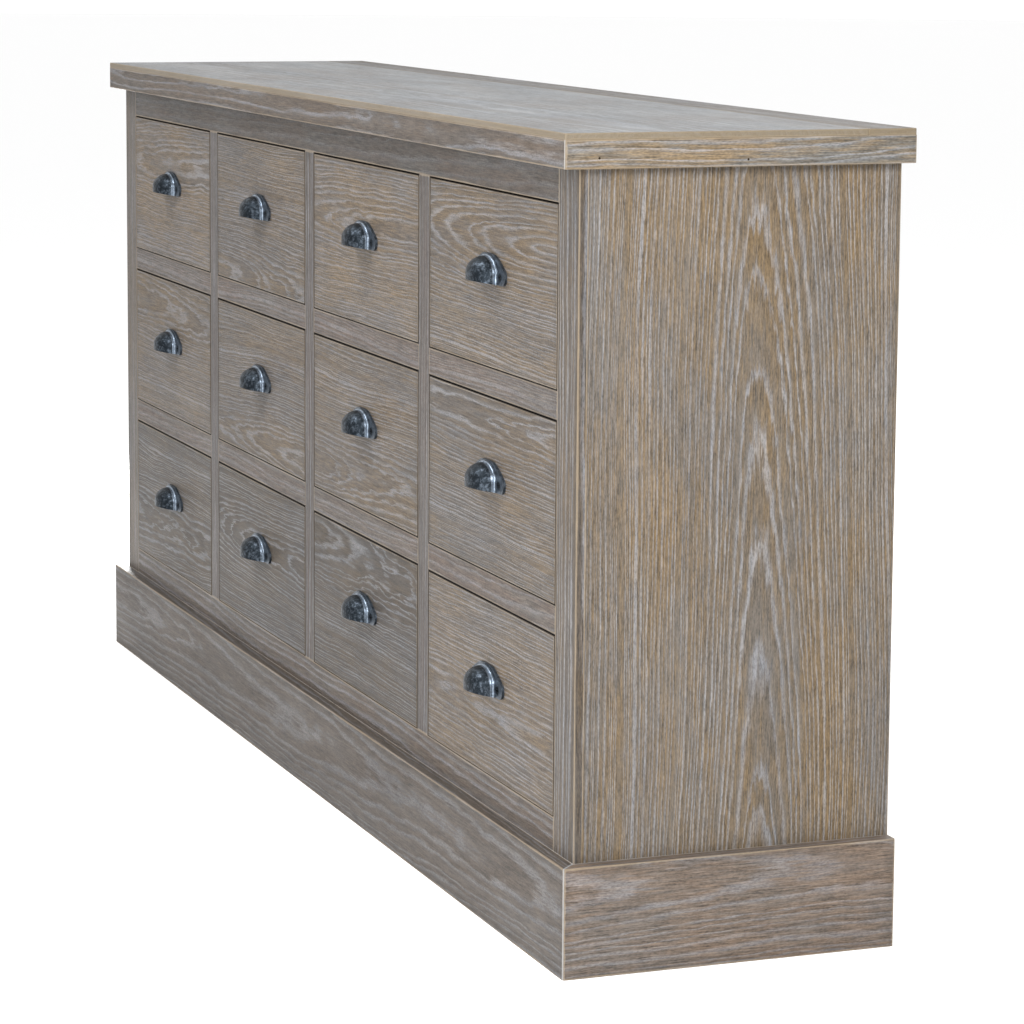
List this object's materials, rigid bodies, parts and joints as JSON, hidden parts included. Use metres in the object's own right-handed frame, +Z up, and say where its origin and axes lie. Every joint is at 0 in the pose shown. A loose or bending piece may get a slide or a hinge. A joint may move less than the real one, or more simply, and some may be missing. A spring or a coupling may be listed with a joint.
{
  "type": "chest of drawers",
  "caption": "Wide, low chest of drawers in weathered limed oak: a grid of inset drawers with cast-iron cup pulls, an overhanging top and a plain plinth.",
  "frame": {"origin": "on the floor, at the middle of the plinth's footprint", "axes": "+Z up, +X to the right of a person facing the drawers, -Y out of the front, the way the drawers open"},
  "size_m": [1.921, 0.4158, 0.91],
  "materials": {
    "limed_oak_top": "weathered limed oak, satin",
    "limed_oak_edge": "weathered limed oak, waxed",
    "limed_oak_side": "weathered limed oak, waxed",
    "limed_oak_frame": "weathered limed oak, waxed",
    "limed_oak_plinth": "weathered limed oak, waxed",
    "limed_oak_drawer": "weathered limed oak, waxed",
    "softwood": "planed pine, unfinished",
    "plywood": "sanded plywood, unfinished",
    "black_iron": "blackened and worn",
    "zinc_steel": "zinc plated"
  },
  "bodies": {
    "carcass": {"top_panel": "limed_oak_top", "top_back_strip": "limed_oak_top", "top_core": "softwood", "top_edge_front": "limed_oak_edge", "top_edge_left": "limed_oak_edge", "top_edge_right": "limed_oak_edge", "side_panel_left": "limed_oak_side", "side_panel_right": "limed_oak_side", "stiles": "limed_oak_frame", "top_rail": "limed_oak_frame", "bottom_rail": "limed_oak_frame", "mullions": "limed_oak_frame", "mid_rails": "limed_oak_frame", "partitions": "softwood", "floor_panel": "plywood", "back_panel": "plywood", "drawer_runners": "softwood", "drawer_guides": "softwood", "top_stretchers": "softwood", "plinth_front": "limed_oak_plinth", "plinth_left": "limed_oak_plinth", "plinth_right": "limed_oak_plinth", "plinth_bearers": "softwood", "carcass_screws": "zinc_steel"},
    "drawer_r1c1": {"drawer_front_r1c1": "limed_oak_drawer", "drawer_box_r1c1": "softwood", "cup_pull_r1c1": "black_iron"},
    "drawer_r1c2": {"drawer_front_r1c2": "limed_oak_drawer", "drawer_box_r1c2": "softwood", "cup_pull_r1c2": "black_iron"},
    "drawer_r1c3": {"drawer_front_r1c3": "limed_oak_drawer", "drawer_box_r1c3": "softwood", "cup_pull_r1c3": "black_iron"},
    "drawer_r1c4": {"drawer_front_r1c4": "limed_oak_drawer", "drawer_box_r1c4": "softwood", "cup_pull_r1c4": "black_iron"},
    "drawer_r2c1": {"drawer_front_r2c1": "limed_oak_drawer", "drawer_box_r2c1": "softwood", "cup_pull_r2c1": "black_iron"},
    "drawer_r2c2": {"drawer_front_r2c2": "limed_oak_drawer", "drawer_box_r2c2": "softwood", "cup_pull_r2c2": "black_iron"},
    "drawer_r2c3": {"drawer_front_r2c3": "limed_oak_drawer", "drawer_box_r2c3": "softwood", "cup_pull_r2c3": "black_iron"},
    "drawer_r2c4": {"drawer_front_r2c4": "limed_oak_drawer", "drawer_box_r2c4": "softwood", "cup_pull_r2c4": "black_iron"},
    "drawer_r3c1": {"drawer_front_r3c1": "limed_oak_drawer", "drawer_box_r3c1": "softwood", "cup_pull_r3c1": "black_iron"},
    "drawer_r3c2": {"drawer_front_r3c2": "limed_oak_drawer", "drawer_box_r3c2": "softwood", "cup_pull_r3c2": "black_iron"},
    "drawer_r3c3": {"drawer_front_r3c3": "limed_oak_drawer", "drawer_box_r3c3": "softwood", "cup_pull_r3c3": "black_iron"},
    "drawer_r3c4": {"drawer_front_r3c4": "limed_oak_drawer", "drawer_box_r3c4": "softwood", "cup_pull_r3c4": "black_iron"}
  },
  "joints": [
    {"name": "drawer_r1c1_slide", "type": "slide", "parent": "carcass", "child": "drawer_r1c1", "axis": [0, -1, 0], "range_m": [0, 0.27]},
    {"name": "drawer_r1c2_slide", "type": "slide", "parent": "carcass", "child": "drawer_r1c2", "axis": [0, -1, 0], "range_m": [0, 0.27]},
    {"name": "drawer_r1c3_slide", "type": "slide", "parent": "carcass", "child": "drawer_r1c3", "axis": [0, -1, 0], "range_m": [0, 0.27]},
    {"name": "drawer_r1c4_slide", "type": "slide", "parent": "carcass", "child": "drawer_r1c4", "axis": [0, -1, 0], "range_m": [0, 0.27]},
    {"name": "drawer_r2c1_slide", "type": "slide", "parent": "carcass", "child": "drawer_r2c1", "axis": [0, -1, 0], "range_m": [0, 0.27]},
    {"name": "drawer_r2c2_slide", "type": "slide", "parent": "carcass", "child": "drawer_r2c2", "axis": [0, -1, 0], "range_m": [0, 0.27]},
    {"name": "drawer_r2c3_slide", "type": "slide", "parent": "carcass", "child": "drawer_r2c3", "axis": [0, -1, 0], "range_m": [0, 0.27]},
    {"name": "drawer_r2c4_slide", "type": "slide", "parent": "carcass", "child": "drawer_r2c4", "axis": [0, -1, 0], "range_m": [0, 0.27]},
    {"name": "drawer_r3c1_slide", "type": "slide", "parent": "carcass", "child": "drawer_r3c1", "axis": [0, -1, 0], "range_m": [0, 0.27]},
    {"name": "drawer_r3c2_slide", "type": "slide", "parent": "carcass", "child": "drawer_r3c2", "axis": [0, -1, 0], "range_m": [0, 0.27]},
    {"name": "drawer_r3c3_slide", "type": "slide", "parent": "carcass", "child": "drawer_r3c3", "axis": [0, -1, 0], "range_m": [0, 0.27]},
    {"name": "drawer_r3c4_slide", "type": "slide", "parent": "carcass", "child": "drawer_r3c4", "axis": [0, -1, 0], "range_m": [0, 0.27]}
  ]
}
